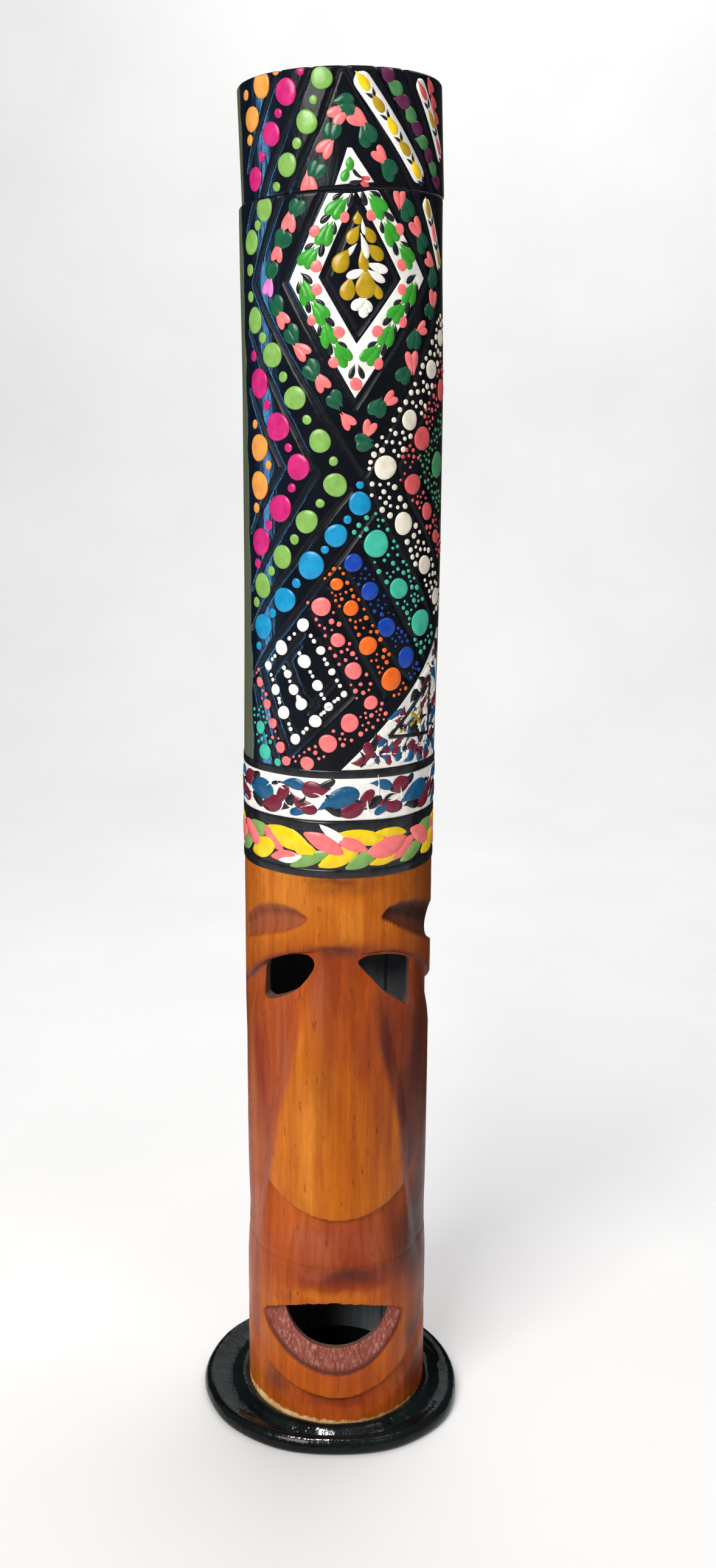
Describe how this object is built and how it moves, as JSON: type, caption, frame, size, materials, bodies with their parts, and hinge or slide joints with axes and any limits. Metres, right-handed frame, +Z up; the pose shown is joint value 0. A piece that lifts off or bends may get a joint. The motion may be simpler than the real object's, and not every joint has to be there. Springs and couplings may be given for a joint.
{
  "type": "rainstick",
  "caption": "Upright bamboo rainstick: dot-painted carved chamber with a peg helix and seeds, a see-through carved mask below, a lift-off cap and a round black base.",
  "frame": {"origin": "on the tube's axis, at the underside of the base plate", "axes": "+Z up along the tube, -Y towards the viewer (the mask looks along -Y), +X to the viewer's right"},
  "size_m": [0.1279, 0.1204, 0.6109],
  "materials": {
    "black_gloss_wood": "glossy black paint on wood",
    "nail_steel": "bright wire nails",
    "painted_bamboo": "carved bamboo, stained and dot-painted under varnish",
    "plywood": "bare plywood",
    "peg_bamboo": "split bamboo",
    "dry_seed": "dry hard seeds",
    "sleeve_bamboo": "thinned bamboo ring",
    "disc_wood": "black painted wood"
  },
  "bodies": {
    "stick": {"base_plate": "black_gloss_wood", "base_nails": "nail_steel", "culm": "painted_bamboo", "chamber_floor": "plywood", "floor_brads": "nail_steel", "rain_pegs_1": "peg_bamboo", "rain_pegs_2": "peg_bamboo", "rain_pegs_3": "peg_bamboo", "rain_pegs_4": "peg_bamboo"},
    "cap": {"cap_ring": "painted_bamboo", "cap_sleeve": "sleeve_bamboo", "cap_disc": "disc_wood"},
    "seeds": {"rain_seeds": "dry_seed"}
  },
  "joints": [
    {"name": "cap_lift", "type": "slide", "parent": "stick", "child": "cap", "axis": [0, 0, 1], "range_m": [0, 0.05]},
    {"name": "seed_fall", "type": "slide", "parent": "stick", "child": "seeds", "axis": [0, 0, 1], "range_m": [0, 0.28]}
  ]
}
